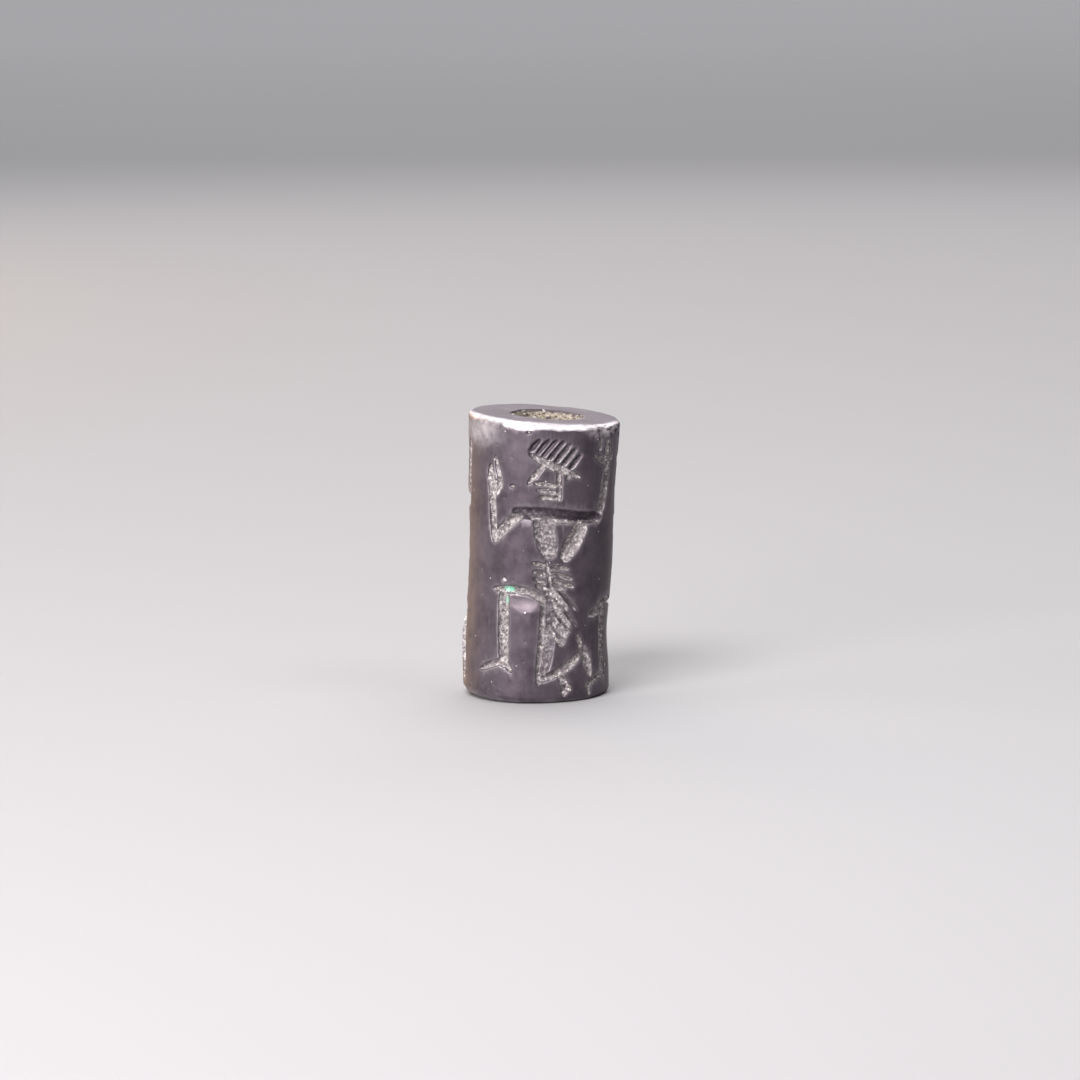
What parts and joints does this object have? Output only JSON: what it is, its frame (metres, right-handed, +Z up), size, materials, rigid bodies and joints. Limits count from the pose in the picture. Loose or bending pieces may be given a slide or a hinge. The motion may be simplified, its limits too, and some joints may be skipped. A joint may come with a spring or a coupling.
{
  "type": "cylinder seal",
  "caption": "Drilled stone cylinder seal with an engraved scene of kneeling figures, standing on its end.",
  "frame": {"origin": "centre of the bounding box on the standing face", "axes": "+Z up along the seal's length, -Y towards the viewer of the front figure, +X to that viewer's right"},
  "size_m": [0.0156, 0.0146, 0.0277],
  "materials": {
    "haematite": "worn satin with pale mineral crust in the carving"
  },
  "bodies": {
    "root": {"seal": "haematite"}
  },
  "joints": []
}
